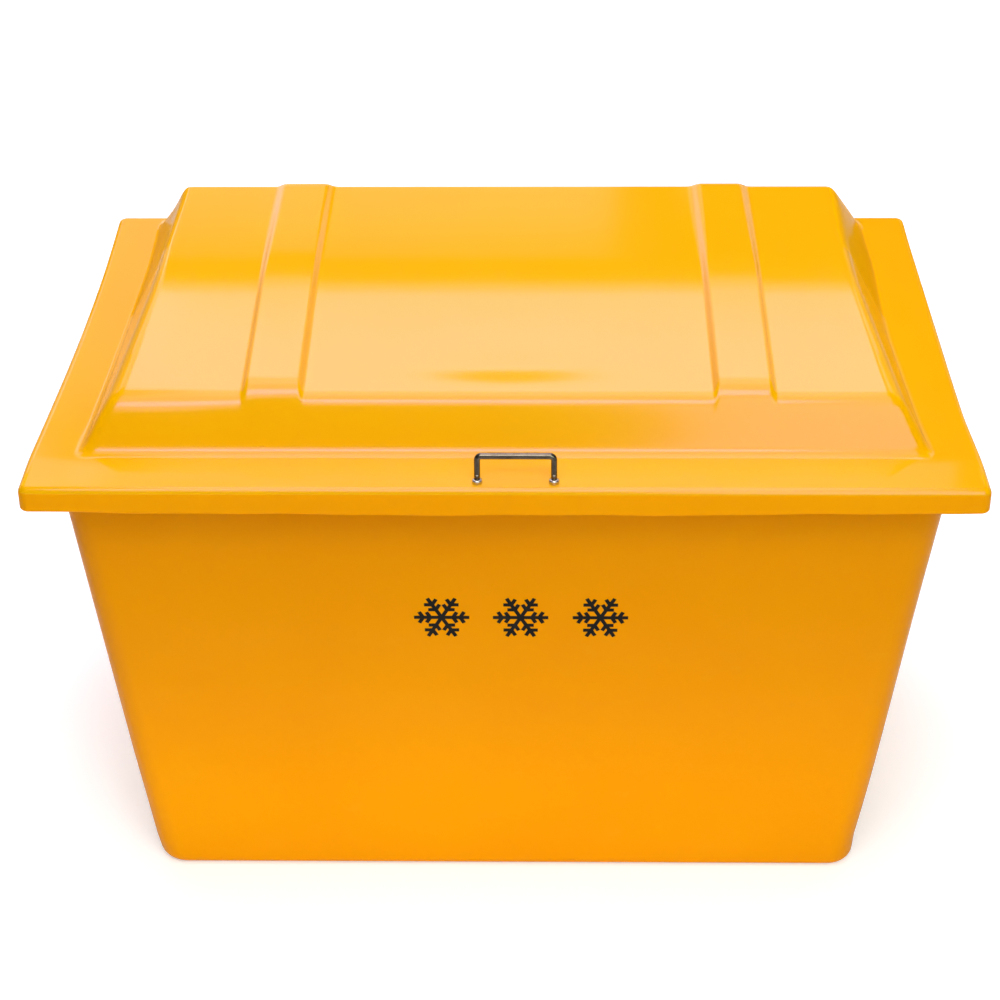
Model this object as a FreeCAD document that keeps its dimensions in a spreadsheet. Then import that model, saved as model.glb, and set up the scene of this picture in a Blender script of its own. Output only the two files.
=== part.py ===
import FreeCAD, Part
import math
import os
import re

import Sketcher

# Grit and salt bin in moulded glass fibre: an open tapered tub, and a domed lid that
# overhangs it and swings up and back on two cranked hinges behind the rear skirt.
# Origin: centre of the underside of the tub. +Z up, the front faces -Y. Millimetres.

doc = FreeCAD.newDocument("GritSaltBin")

SIZES = [
    ("LidWidth", 1100, "lid, left to right over the skirt"),
    ("LidDepth", 750, "lid, front to rear over the skirt"),
    ("LidWall", 5, "laminate thickness of the lid"),
    ("SkirtDepth", 34, "lid skirt, from the flange top down"),
    ("LidCorner", 24, "lid corner radius in plan"),
    ("DomeRound", 20, "radius along the dome's ridges"),
    ("DomeFootRound", 10, "hollow radius where the dome meets the flange"),
    ("BendRound", 750, "gentle radius at the bend of the roof"),
    ("FlangeRound", 8, "rounding along the flange's outer edge"),
    ("FrontFlange", 76, "flat flange in front of the dome"),
    ("SideFlange", 60, "flat flange beside the dome"),
    ("RearFlange", 25, "flat flange behind the dome"),
    ("DomeHeight", 108, "crest of the dome above the flange"),
    ("CrestSetback", 144, "crest of the dome to the rear edge"),
    ("BandRun", 37, "steep front band, front to rear"),
    ("BandHeight", 59, "steep front band, height"),
    ("BendRun", 280, "front band foot to the bend of the roof"),
    ("BendHeight", 98, "bend of the roof above the flange"),
    ("SideRun", 59, "lean of the dome's ends over its height"),
    ("RibSpacing", 275, "centre of the lid to each rib"),
    ("RibTop", 66, "flat top of a rib, across"),
    ("RibBevel", 13, "sloped side of a rib, across"),
    ("RibHeight", 9, "rib above the roof"),
    ("RibRoot", 4, "how far a rib runs into the roof below it"),
    ("RibNose", 28, "radius at each end of a rib"),
    ("TubHeight", 615, "ground to the top of the tub's rim"),
    ("TubWall", 5, "laminate thickness of the tub"),
    ("Draft", 4.5, "draft of the tub's front and rear walls, degrees"),
    ("EndDraft", 6.6, "draft of the tub's end walls, degrees"),
    ("TubCorner", 36, "upright corner radius of the tub"),
    ("TubBottomRound", 18, "radius along the tub's bottom edge"),
    ("RimWidth", 10, "rim outside the tub's wall"),
    ("SkirtGap", 22, "clearance between the tub's rim and the lid skirt, front and rear"),
    ("EndGap", 15, "clearance between the tub's rim and the lid skirt at the ends"),
    ("RimCorner", 44, "corner radius of the rim in plan"),
    ("LipDepth", 20, "down-turned lip of the rim, from its top"),
    ("HingeWidth", 70, "length of a hinge along its pin"),
    ("HingeSheet", 3, "thickness of the hinge strips"),
    ("PinDiameter", 6, "hinge pin"),
    ("RunningFit", 0.05, "radial clearance of a pin or bolt in its bore"),
    ("KnuckleGap", 0.4, "gap between neighbouring knuckles"),
    ("KnuckleDrop", 6, "hinge axis below the lid skirt"),
    ("LeafHeight", 27, "hinge leaf above the axis"),
    ("BracketDrop", 66, "bracket leg down the rear wall"),
    ("HeelReach", 34, "stop heel of the bracket behind the axis"),
    ("HeelWidth", 10, "width of each stop heel"),
    ("BendRadius", 4, "inside bend radius of the bracket strip"),
    ("StripCorner", 6, "corner radius of the hinge leaves"),
    ("PinHead", 10, "diameter of the pin's heads"),
    ("PinHeadHeight", 1.6, "thickness of the pin's heads"),
    ("BoltDiameter", 6, "bracket bolts"),
    ("BoltPitch", 40, "bracket bolts, side to side"),
    ("BoltRowPitch", 32, "bracket bolts, row to row down the leg"),
    ("BoltFlats", 10, "bracket bolt heads and nuts across flats"),
    ("BoltHeadHeight", 4, "bracket bolt heads"),
    ("BoltNutHeight", 5.5, "bracket nuts"),
    ("BoltTail", 1.5, "thread showing past a nut"),
    ("PlateMargin", 11, "backing plate past the bolt centres"),
    ("LeafBoltDiameter", 5, "hinge leaf bolts"),
    ("LeafBoltPitch", 25, "hinge leaf bolts, side to side"),
    ("LeafBoltRise", 16, "hinge leaf bolts above the axis"),
    ("LeafBoltFlats", 8, "leaf bolt heads and nuts across flats"),
    ("LeafBoltHeadHeight", 3, "leaf bolt heads"),
    ("LeafNutHeight", 4.5, "leaf nuts"),
    ("BackingSheet", 2, "thickness of the backing plates"),
    ("HandleSpan", 87, "handle, leg centre to leg centre"),
    ("HandleRod", 7, "handle rod"),
    ("HandleHeight", 30, "handle, flange to the top of the rod"),
    ("HandleBend", 6, "handle, centre-line bend radius"),
    ("HandleOffset", 14, "handle centre to the right of the bin's centre"),
    ("FootDiameter", 12, "collar at each handle foot"),
    ("FootHeight", 3, "height of a handle collar"),
    ("ScrewDiameter", 4, "handle screws"),
    ("ScrewHead", 8, "handle screw head diameter"),
    ("ScrewHeadHeight", 2.6, "handle screw head height"),
    ("ScrewGrip", 14, "screw length above the flange's underside"),
    ("WasherDiameter", 12, "handle washers"),
    ("WasherSheet", 1.2, "thickness of the handle washers"),
    ("WasherGap", 3, "clearance between the handle washers and the tub's rim"),
]

# Places and lengths that follow from the sizes above, each an expression on them.
DERIVED = {
    "FlangeTop": "TubHeight + LidWall",
    "LidBottom": "FlangeTop - SkirtDepth",
    "LidFront": "-LidDepth / 2",
    "DomeFront": "LidFront + FrontFlange",
    "DomeRear": "LidDepth / 2 - RearFlange",
    "CrestY": "LidDepth / 2 - CrestSetback",
    "DomeHalf": "LidWidth / 2 - SideFlange",
    "WallLean": "tan(Draft)",
    "EndLean": "tan(EndDraft)",
    "RimHalfX": "LidWidth / 2 - LidWall - EndGap",
    "RimHalfY": "LidDepth / 2 - LidWall - SkirtGap",
    "BaseHalfX": "RimHalfX - RimWidth - TubHeight * EndLean",
    "BaseHalfY": "RimHalfY - RimWidth - TubHeight * WallLean",
    "FloorHalfX": "BaseHalfX + TubWall * EndLean - TubWall / cos(EndDraft)",
    "FloorHalfY": "BaseHalfY + TubWall * WallLean - TubWall / cos(Draft)",
    "KnuckleRadius": "PinDiameter / 2 + RunningFit + HingeSheet",
    "KnuckleLength": "HingeWidth / 5",
    "AxisY": "LidDepth / 2 + KnuckleRadius",
    "AxisZ": "LidBottom - KnuckleDrop",
    "LegUnder": "AxisZ - KnuckleRadius",
    "LegTop": "LegUnder + HingeSheet",
    "LegFoot": "LegUnder - BracketDrop",
    "BoltsZ": "LegUnder - BracketDrop / 2",
    "StripEnd": "AxisY - KnuckleRadius - KnuckleGap",
    "FingerInner": "KnuckleLength / 2 - KnuckleGap / 2",
    "FingerOuter": "1.5 * KnuckleLength + KnuckleGap / 2",
    "NotchTop": "AxisZ + KnuckleRadius + KnuckleGap",
    "HandleY": "-(RimHalfY + WasherGap + WasherDiameter / 2)",
    "ScrewBore": "ScrewDiameter + 2 * RunningFit",
}


sheet = doc.addObject("Spreadsheet::Sheet", "Sizes")
for row, (alias, size, meaning) in enumerate(SIZES, 1):
    sheet.set(f"A{row}", meaning)
    sheet.set(f"B{row}", str(size))
    sheet.setAlias(f"B{row}", alias)
doc.recompute()


def bound(text):
    """The expression with every size name pointing at the sheet."""
    def name(match):
        word = match.group(0)
        return f"({bound(DERIVED[word])})" if word in DERIVED else f"Sizes.{word}"
    return re.sub(r"\b[A-Z][A-Za-z]+\b", name, text)


def value(text):
    """What the expression comes to, in millimetres or degrees."""
    found = sheet.evalExpression(bound(text))
    return float(getattr(found, "Value", found))


def tie(thing, **sizes):
    """Bind properties to sizes; a double underscore stands for the dot in a property path."""
    for path, text in sizes.items():
        thing.setExpression(path.replace("__", "."), bound(text))
    return thing


def body(name):
    made = doc.addObject("PartDesign::Body", name)
    made.Label = name
    return made


def sketch(owner, plane, offset="0"):
    """A sketch on one of the body's origin planes, moved along the plane's normal."""
    made = owner.newObject("Sketcher::SketchObject", "Sketch")
    base = next(f for f in owner.Origin.OriginFeatures if f.Role == plane)
    made.AttachmentSupport = [(base, "")]
    made.MapMode = "FlatFace"
    return tie(made, AttachmentOffset__Base__z=offset)


def pin_down(drawn, geometry, end, u, v):
    """Hold one end of a line, or the centre of an arc, at (u, v) in its sketch."""
    for kind, axis, text in (("DistanceX", -2, u), ("DistanceY", -1, v)):
        if text == "0":
            drawn.addConstraint(Sketcher.Constraint("PointOnObject", geometry, end, axis))
        else:
            held = drawn.addConstraint(
                Sketcher.Constraint(kind, -1, 1, geometry, end, value(text)))
            drawn.setExpression(f"Constraints[{held}]", bound(text))


def outline(drawn, points, rounds={}, closed=True):
    """Straight lines through points given as pairs of expressions; rounds gives the radius
    of the arc that takes a point's place, by the point's number."""
    count = len(points)
    where = [FreeCAD.Vector(value(u), value(v), 0) for u, v in points]
    cut = [[at, at] for at in where]
    arcs = {}
    for i, radius in rounds.items():
        came = (where[i] - where[i - 1]).normalize()
        goes = (where[(i + 1) % count] - where[i]).normalize()
        turn = came.getAngle(goes)
        left = 1 if came.cross(goes).z > 0 else -1
        reach = value(radius) * math.tan(turn / 2)
        cut[i] = [where[i] - came * reach, where[i] + goes * reach]
        middle = cut[i][0] + FreeCAD.Vector(-came.y, came.x, 0) * left * value(radius)
        begin, end = [math.atan2(p.y - middle.y, p.x - middle.x) for p in cut[i][::left]]
        ring = Part.Circle(middle, FreeCAD.Vector(0, 0, 1), value(radius))
        arcs[i] = (Part.ArcOfCircle(ring, begin, end), left)
    first = drawn.GeometryCount
    lines = count if closed else count - 1
    for i in range(lines):
        drawn.addGeometry(Part.LineSegment(cut[i][1], cut[(i + 1) % count][0]), False)
    for i, (u, v) in enumerate(points):
        before, after = first + (i - 1) % count, first + i
        if i in arcs:
            arc, left = arcs[i]
            curve = drawn.addGeometry(arc, False)
            tip = drawn.addGeometry(Part.Point(where[i]), True)
            pin_down(drawn, tip, 1, u, v)
            enter, leave = (1, 2) if left > 0 else (2, 1)
            for end, line, line_end in ((enter, before, 2), (leave, after, 1)):
                drawn.addConstraint(Sketcher.Constraint("PointOnObject", tip, 1, line))
                drawn.addConstraint(Sketcher.Constraint("Tangent", curve, end, line, line_end))
            held = drawn.addConstraint(Sketcher.Constraint("Radius", curve, value(rounds[i])))
            drawn.setExpression(f"Constraints[{held}]", bound(rounds[i]))
        elif closed or i < lines:
            if closed or i > 0:
                drawn.addConstraint(Sketcher.Constraint("Coincident", before, 2, after, 1))
            pin_down(drawn, after, 1, u, v)
        else:
            pin_down(drawn, before, 2, u, v)
    return drawn


def rounded(drawn, half_u, half_v, radius):
    """A rounded rectangle about the origin of its sketch."""
    first = drawn.GeometryCount
    u, v, r = value(half_u), value(half_v), value(radius)
    ends = []
    for turn, (a, b) in enumerate(((1, 1), (-1, 1), (-1, -1), (1, -1))):
        middle = FreeCAD.Vector(a * (u - r), b * (v - r), 0)
        start = turn * math.pi / 2
        quarter = Part.ArcOfCircle(Part.Circle(middle, FreeCAD.Vector(0, 0, 1), r), start, start + math.pi / 2)
        ends.append((quarter.StartPoint, quarter.EndPoint))
        drawn.addGeometry(quarter, False)
    for i in range(4):
        drawn.addGeometry(Part.LineSegment(ends[i][1], ends[(i + 1) % 4][0]), False)
    for i in range(4):
        line = first + 4 + i
        drawn.addConstraint(Sketcher.Constraint("Tangent", first + i, 2, line, 1))
        drawn.addConstraint(Sketcher.Constraint("Tangent", line, 2, first + (i + 1) % 4, 1))
        drawn.addConstraint(Sketcher.Constraint("Vertical" if i % 2 else "Horizontal", line))
        held = drawn.addConstraint(Sketcher.Constraint("Radius", first + i, r))
        drawn.setExpression(f"Constraints[{held}]", bound(radius))
    for line, kind, text in ((4, "DistanceY", half_v), (5, "DistanceX", f"-({half_u})"),
                             (6, "DistanceY", f"-({half_v})"), (7, "DistanceX", half_u)):
        held = drawn.addConstraint(
            Sketcher.Constraint(kind, -1, 1, first + line, 1, value(text)))
        drawn.setExpression(f"Constraints[{held}]", bound(text))
    return drawn


def circle(drawn, u, v, diameter):
    made = drawn.addGeometry(
        Part.Circle(FreeCAD.Vector(value(u), value(v), 0), FreeCAD.Vector(0, 0, 1), value(diameter) / 2), False)
    pin_down(drawn, made, 3, u, v)
    held = drawn.addConstraint(Sketcher.Constraint("Diameter", made, value(diameter)))
    drawn.setExpression(f"Constraints[{held}]", bound(diameter))
    return drawn


def feature(owner, kind, profile=None, **sizes):
    """A PartDesign feature whose sizes are bound; plain settings come as tuples of one."""
    made = owner.newObject(f"PartDesign::{kind}", kind)
    if profile is not None:
        made.Profile = (profile, [""])
    for path, text in sizes.items():
        if isinstance(text, tuple):
            setattr(made, path, text[0])
        else:
            tie(made, **{path: text})
    if profile is not None:
        profile.Visibility = False
    return made


def round_edges(owner, radius, chosen):
    """Fillet the edges of the body so far whose middle point passes a test."""
    doc.recompute()
    tip = owner.Tip
    names = []
    for number, edge in enumerate(tip.Shape.Edges, 1):
        middle = edge.valueAt((edge.FirstParameter + edge.LastParameter) / 2)
        if chosen(middle, edge):
            names.append(f"Edge{number}")
    made = owner.newObject("PartDesign::Fillet", "Fillet")
    made.Base = (tip, names)
    return tie(made, Radius=radius)


def is_level(edge, z):
    """Whether an edge lies wholly at one height."""
    box = edge.BoundBox
    return abs(box.ZMin - z) < 0.01 and abs(box.ZMax - z) < 0.01


def is_upright(edge, low, high):
    """Whether an edge climbs from one height to another."""
    box = edge.BoundBox
    return abs(box.ZMin - low) < 0.01 and abs(box.ZMax - high) < 0.01


def box_outline(drawn, half_u, half_v):
    """A sharp rectangle about the origin of its sketch."""
    signs = (("-", "-"), ("", "-"), ("", ""), ("-", ""))
    return outline(drawn, [(f"{a}({half_u})", f"{b}({half_v})") for a, b in signs])


def drafted_block(name, floor, half_x, half_y, corner, bottom_round):
    """A solid with drafted walls from a floor level up past the rim, its edges rounded."""
    block = body(name)
    plan = box_outline(sketch(block, "XY_Plane", floor), half_x, half_y)
    made = feature(block, "Pad", plan, Length="TubHeight")
    for angle, across in (("Draft", FreeCAD.Vector(0, 1, 0)), ("EndDraft", FreeCAD.Vector(1, 0, 0))):
        doc.recompute()
        faces = {f"Face{number}": face for number, face in enumerate(made.Shape.Faces, 1)}
        draft = block.newObject("PartDesign::Draft", "Draft")
        draft.Base = (made, [key for key, face in faces.items() if abs(face.normalAt(0, 0).dot(across)) > 0.9])
        draft.NeutralPlane = (made, [key for key, face in faces.items()
                                     if abs(face.CenterOfMass.z - value(floor)) < 0.01])
        draft.Reversed = True
        made = tie(draft, Angle=angle)
    low, high = value(floor), value(f"{floor} + TubHeight")
    round_edges(block, corner, lambda at, edge: is_upright(edge, low, high))
    round_edges(block, bottom_round, lambda at, edge: is_level(edge, low))
    return block


def seat(thing, path, place):
    """Put an object or a sketch at a place given as x, y, z and a turn about X."""
    x, y, z, turn = place
    setattr(thing, path, FreeCAD.Placement(FreeCAD.Vector(), FreeCAD.Rotation(FreeCAD.Vector(1, 0, 0), 1)))
    return tie(thing, **{f"{path}__Base__x": x, f"{path}__Base__y": y, f"{path}__Base__z": z,
                         f"{path}__Rotation__Angle": turn})


def on_rear_wall(x):
    """Frame at the middle of a bracket's bolts: z leaves the tub's rear wall, y runs down it."""
    return x, "BaseHalfY + BoltsZ * WallLean", "BoltsZ", "-90 deg - Draft * 1 deg"


def on_skirt(x):
    """Frame on the lid's rear skirt at the leaf's bolts: z leaves the skirt, y runs down."""
    return x, "LidDepth / 2", "AxisZ + LeafBoltRise", "-90 deg"


BRACKET_BOLTS = [(f"{a}BoltPitch / 2", f"{b}BoltRowPitch / 2") for a in ("-", "") for b in ("-", "")]
LEAF_BOLTS = [("-LeafBoltPitch", "0"), ("0", "0"), ("LeafBoltPitch", "0")]
HANDLE_FEET = [("-HandleSpan / 2", "0"), ("HandleSpan / 2", "0")]


def drill(owner, place, spots, diameter, depth):
    """Round holes at spots of a seated frame, as deep each way as the depth."""
    drawn = sketch(owner, "XY_Plane")
    seat(drawn, "AttachmentOffset", place)
    for u, v in spots:
        circle(drawn, u, v, f"{diameter} + 2 * RunningFit")
    return feature(owner, "Pocket", drawn, Length=f"2 * {depth}", SideType=("Symmetric",))


def cut_away(owner, *tools):
    """Take other bodies away from this one."""
    made = owner.newObject("PartDesign::Boolean", "Boolean")
    made.Type = "Cut"
    made.setObjects(list(tools))
    return made


# The tub: drafted walls with rounded uprights, a rounded bottom edge, a rim turned out
# at the top and a short lip turned down from the rim's edge, all one laminate.
tub = drafted_block("tub", "0", "BaseHalfX", "BaseHalfY", "TubCorner", "TubBottomRound")
rim = rounded(sketch(tub, "XY_Plane", "TubHeight"), "RimHalfX", "RimHalfY", "RimCorner")
feature(tub, "Pad", rim, Length="TubWall", Reversed=(True,))
lip = rounded(sketch(tub, "XY_Plane", "TubHeight"), "RimHalfX", "RimHalfY", "RimCorner")
rounded(lip, "RimHalfX - TubWall", "RimHalfY - TubWall", "RimCorner - TubWall")
feature(tub, "Pad", lip, Length="LipDepth", Reversed=(True,))
for side in ("-", ""):
    drill(tub, on_rear_wall(f"{side}RibSpacing"), BRACKET_BOLTS, "BoltDiameter", "2 * TubWall")
tub_hollow = drafted_block("tub_hollow", "TubWall", "FloorHalfX", "FloorHalfY",
                           "TubCorner - TubWall", "TubBottomRound - TubWall")
cut_away(tub, tub_hollow)


FLAT = ("1", "0")
BAND = ("BandRun", "BandHeight")
SLOPE = ("BendRun - BandRun", "BendHeight - BandHeight")
TOP = ("CrestY - DomeFront - BendRun", "DomeHeight - BendHeight")
REAR = ("DomeRear - CrestY", "-DomeHeight")
ENDWALL = ("SideRun", "DomeHeight")


def corner(at, before, after, inset_before, inset_after):
    """Where two sloped lines that meet at a point cross once each is set in by its own inset."""
    (c1, s1), (c2, s2) = ((f"(({run}) / hypot({run}; {rise}))", f"(({rise}) / hypot({run}; {rise}))")
                          for run, rise in (before, after))
    cross = f"({s2} * {c1} - {s1} * {c2})"
    return (f"{at[0]} + (({inset_after}) * {c1} - ({inset_before}) * {c2}) / {cross}",
            f"{at[1]} + (({inset_after}) * {s1} - ({inset_before}) * {s2}) / {cross}")


def dome_profile(inset, raised):
    """The dome seen from its end, set in by one amount and its roof raised by another."""
    roof = f"{inset} - {raised}"
    return [
        corner(("DomeFront", "FlangeTop"), FLAT, BAND, inset, inset),
        corner(("DomeFront + BandRun", "FlangeTop + BandHeight"), BAND, SLOPE, inset, roof),
        corner(("DomeFront + BendRun", "FlangeTop + BendHeight"), SLOPE, TOP, roof, roof),
        corner(("CrestY", "FlangeTop + DomeHeight"), TOP, REAR, roof, inset),
        corner(("DomeRear", "FlangeTop"), REAR, FLAT, inset, inset),
    ]


def rib(block, inset, middle):
    """One raised rib: a flat-topped, bevelled section drawn along the roof from the front
    band, where it lies flush, to the rear wall, where it is flush again."""
    ridge = dome_profile(inset, "RibHeight")
    start = tuple(f"({a} + 2 * ({b})) / 3" for a, b in zip(ridge[0], ridge[1]))
    end = tuple(f"({a} + 2 * ({b})) / 3" for a, b in zip(ridge[4], ridge[3]))
    nose = f"RibNose - {inset}"
    track = outline(sketch(block, "YZ_Plane", middle), [start, *ridge[1:4], end],
                    {1: nose, 2: f"BendRound - {inset} + RibHeight", 3: nose}, closed=False)
    section = sketch(block, "XY_Plane")
    tilted = FreeCAD.Rotation(FreeCAD.Vector(1, 0, 0), -45)
    section.AttachmentOffset = FreeCAD.Placement(FreeCAD.Vector(), tilted)
    tie(section, AttachmentOffset__Base__x=middle, AttachmentOffset__Base__y=start[0],
        AttachmentOffset__Base__z=start[1],
        AttachmentOffset__Rotation__Angle="atan2(BandHeight; BandRun) - 90 deg")
    half = f"RibTop / 2 - {inset} * RibHeight / (hypot(RibBevel; RibHeight) + RibBevel)"
    depth = "(RibHeight + RibRoot)"
    wide = f"({half} + {depth} * RibBevel / RibHeight)"
    outline(section, [(half, "0"), (wide, depth), (f"-{wide}", depth), (f"-({half})", "0")])
    made = feature(block, "AdditivePipe", section, Spine=((track, [""]),))
    track.Visibility = False
    return made


def lid_block(name, inset):
    """The solid that the lid's outer face bounds, or with an inset the one its inner face bounds."""
    block = body(name)
    underside = f"FlangeTop - {inset}"
    plan = rounded(sketch(block, "XY_Plane", underside), f"LidWidth / 2 - {inset}",
                   f"LidDepth / 2 - {inset}", f"LidCorner - {inset}")
    feature(block, "Pad", plan, Length=f"SkirtDepth - {inset}", Reversed=(True,))
    dome = outline(sketch(block, "YZ_Plane"), dome_profile(inset, "0"), {2: f"BendRound - {inset}"})
    feature(block, "Pad", dome, Length="2 * DomeHalf", SideType=("Symmetric",))
    ends = sketch(block, "XZ_Plane")
    foot_x, foot_z = corner(("-DomeHalf", "FlangeTop"), FLAT, ENDWALL, inset, inset)
    head_x, head_z = corner(("-(DomeHalf - SideRun)", "FlangeTop + DomeHeight"), ENDWALL, FLAT, inset, "0")
    for side in ("", "-"):
        outline(ends, [(f"{side}({foot_x})", foot_z), (f"{side}({head_x})", head_z),
                       (f"{side}DomeHalf", head_z), (f"{side}DomeHalf", foot_z)])
    feature(block, "Pocket", ends, Type=("ThroughAll",), SideType=("Symmetric",))
    low, dome_x = value(underside), value(foot_x) - 1
    dome_front, dome_rear = value("DomeFront") - 1, value("DomeRear") + 1
    bend_y = value(dome_profile(inset, "0")[2][0])
    round_edges(block, f"DomeRound - {inset}", lambda at, edge: at.z > low + 1 and abs(at.y - bend_y) > 1)
    round_edges(block, f"DomeFootRound + {inset}", lambda at, edge: is_level(edge, low) and (
        at.x > dome_x and at.x < -dome_x and at.y > dome_front and at.y < dome_rear))
    if inset == "0":
        round_edges(block, "FlangeRound", lambda at, edge: is_level(edge, low) and (
            max(abs(at.x) / value("LidWidth"), abs(at.y) / value("LidDepth")) > 0.48))
    for side in ("", "-"):
        rib(block, inset, f"{side}RibSpacing")
    return block


lid = lid_block("lid", "0")
lid_hollow = lid_block("lid_hollow", "LidWall")
cut_away(lid, lid_hollow)
for side in ("-", ""):
    drill(lid, on_skirt(f"{side}RibSpacing"), LEAF_BOLTS, "LeafBoltDiameter", "2 * LidWall")
drill(lid, ("HandleOffset", "HandleY", "FlangeTop", "0"), HANDLE_FEET, "ScrewDiameter", "2 * LidWall")


def knuckle(owner, middle, length):
    """One rolled eye of a hinge strip, on the hinge axis."""
    ring = circle(sketch(owner, "YZ_Plane", middle), "AxisY", "AxisZ", "2 * KnuckleRadius")
    feature(owner, "Pad", ring, Length=length, SideType=("Symmetric",))


def pin_bore(owner):
    hole = circle(sketch(owner, "YZ_Plane"), "AxisY", "AxisZ", "PinDiameter + 2 * RunningFit")
    feature(owner, "Pocket", hole, Type=("ThroughAll",), SideType=("Symmetric",))


def hinge_bracket(name):
    """Cranked strip: down the rear wall of the tub, out under the lid skirt, and into two
    eyes, each with a heel behind it on which the opened leaf comes to rest."""
    made = body(name)
    wall = "(BaseHalfY + ({}) * WallLean)"
    out = "HingeSheet / cos(Draft)"
    strip = outline(sketch(made, "YZ_Plane"), [
        (wall.format("LegTop"), "LegTop"), ("StripEnd", "LegTop"), ("StripEnd", "LegUnder"),
        (f"{wall.format('LegUnder')} + {out}", "LegUnder"), (f"{wall.format('LegFoot')} + {out}", "LegFoot"),
        (wall.format("LegFoot"), "LegFoot")], {0: "BendRadius + HingeSheet", 3: "BendRadius"})
    feature(made, "Pad", strip, Length="HingeWidth", SideType=("Symmetric",))
    tongues = sketch(made, "XY_Plane", "LegUnder")
    for side in ("-", ""):
        eye = [f"{side}KnuckleLength {sign} (KnuckleLength - KnuckleGap) / 2" for sign in "-+"]
        heel = [f"{side}KnuckleLength {sign} HeelWidth / 2" for sign in "-+"]
        outline(tongues, [(eye[0], "StripEnd"), (eye[1], "StripEnd"), (eye[1], "AxisY"), (heel[1], "AxisY"),
                          (heel[1], "AxisY + HeelReach"), (heel[0], "AxisY + HeelReach"),
                          (heel[0], "AxisY"), (eye[0], "AxisY")])
    feature(made, "Pad", tongues, Length="HingeSheet")
    for side in ("-", ""):
        knuckle(made, f"{side}KnuckleLength", "KnuckleLength - KnuckleGap")
    pin_bore(made)
    drill(made, on_rear_wall("0"), BRACKET_BOLTS, "BoltDiameter", "2 * HingeSheet")
    return made


def hinge_leaf(name):
    """Flat strip up the lid's rear skirt with three eyes that pass between the bracket's."""
    made = body(name)
    half, top = "HingeWidth / 2", "AxisZ + LeafHeight"
    plate = outline(sketch(made, "XZ_Plane", "-(LidDepth / 2)"), [
        (f"-{half}", "AxisZ"), ("-(FingerOuter)", "AxisZ"), ("-(FingerOuter)", "NotchTop"),
        ("-(FingerInner)", "NotchTop"), ("-(FingerInner)", "AxisZ"), ("FingerInner", "AxisZ"),
        ("FingerInner", "NotchTop"), ("FingerOuter", "NotchTop"), ("FingerOuter", "AxisZ"),
        (half, "AxisZ"), (half, top), (f"-{half}", top)], {10: "StripCorner", 11: "StripCorner"})
    feature(made, "Pad", plate, Length="HingeSheet", Reversed=(True,))
    knuckle(made, "0", "2 * FingerInner")
    for side in ("-", ""):
        knuckle(made, f"{side}(FingerOuter + {half}) / 2", f"{half} - FingerOuter")
    pin_bore(made)
    drill(made, on_skirt("0"), LEAF_BOLTS, "LeafBoltDiameter", "2 * HingeSheet")
    return made


def hinge_pin(name):
    """Turned pin with a bevelled head at each end."""
    made = body(name)
    reach, radius = "(HingeWidth + KnuckleGap) / 2", "PinDiameter / 2"
    end, head, bevel = f"({reach} + PinHeadHeight)", "PinHead / 2", "PinHeadHeight / 2"
    half = sketch(made, "XY_Plane", "AxisZ")
    tie(half, AttachmentOffset__Base__y="AxisY")
    right = [(end, "0"), (end, f"{head} - {bevel}"), (f"{end} - {bevel}", head), (reach, head), (reach, radius)]
    outline(half, right + [(f"-({x})", y) for x, y in right[::-1]])
    feature(made, "Revolution", half, ReferenceAxis=((half, ["H_Axis"]),), Angle=(360,))
    return made


def backing(name, place, spots, half_x, half_y, sheet_size, bore, under):
    """Flat plate on the inner face of a wall, drilled for its bolts."""
    made = body(name)
    drawn = sketch(made, "XY_Plane", f"-({under})")
    box_outline(drawn, half_x, half_y)
    for u, v in spots:
        circle(drawn, u, v, f"{bore} + 2 * RunningFit")
    feature(made, "Pad", drawn, Length=sheet_size, Reversed=(True,))
    return seat(made, "Placement", place)


def primitive(kind, x, y, z, **sizes):
    made = doc.addObject(f"Part::{kind}", kind)
    if kind == "Prism":
        made.Polygon = 6
    return tie(made, Placement__Base__x=x, Placement__Base__y=y, Placement__Base__z=z, **sizes)


def group(name, place, pieces):
    """Like fasteners as separate solids under one name."""
    made = doc.addObject("Part::Compound", name)
    made.Label = name
    made.Links = pieces
    return seat(made, "Placement", place)


def joined(*pieces):
    made = doc.addObject("Part::MultiFuse", "Joined")
    made.Shapes = list(pieces)
    return made


def bored(piece, tool):
    made = doc.addObject("Part::Cut", "Bored")
    made.Base = piece
    made.Tool = tool
    return made


def bolts(name, place, spots, diameter, flats, head, length):
    """Hexagon bolts put in from outside; z is 0 on the wall, the strip lies under the head."""
    return group(name, place, [
        joined(primitive("Prism", u, v, "HingeSheet", Circumradius=f"{flats} / sqrt(3)", Height=head),
               primitive("Cylinder", u, v, f"-({length})", Radius=f"{diameter} / 2",
                         Height=f"{length} + HingeSheet"))
        for u, v in spots])


def nuts(name, place, spots, diameter, flats, height, under):
    """Hexagon nuts on the inner side, against the backing plate."""
    return group(name, place, [
        bored(primitive("Prism", u, v, f"-({under} + {height})", Circumradius=f"{flats} / sqrt(3)",
                        Height=height),
              primitive("Cylinder", u, v, f"-({under} + {height})",
                        Radius=f"{diameter} / 2 + RunningFit", Height=height))
        for u, v in spots])


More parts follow.
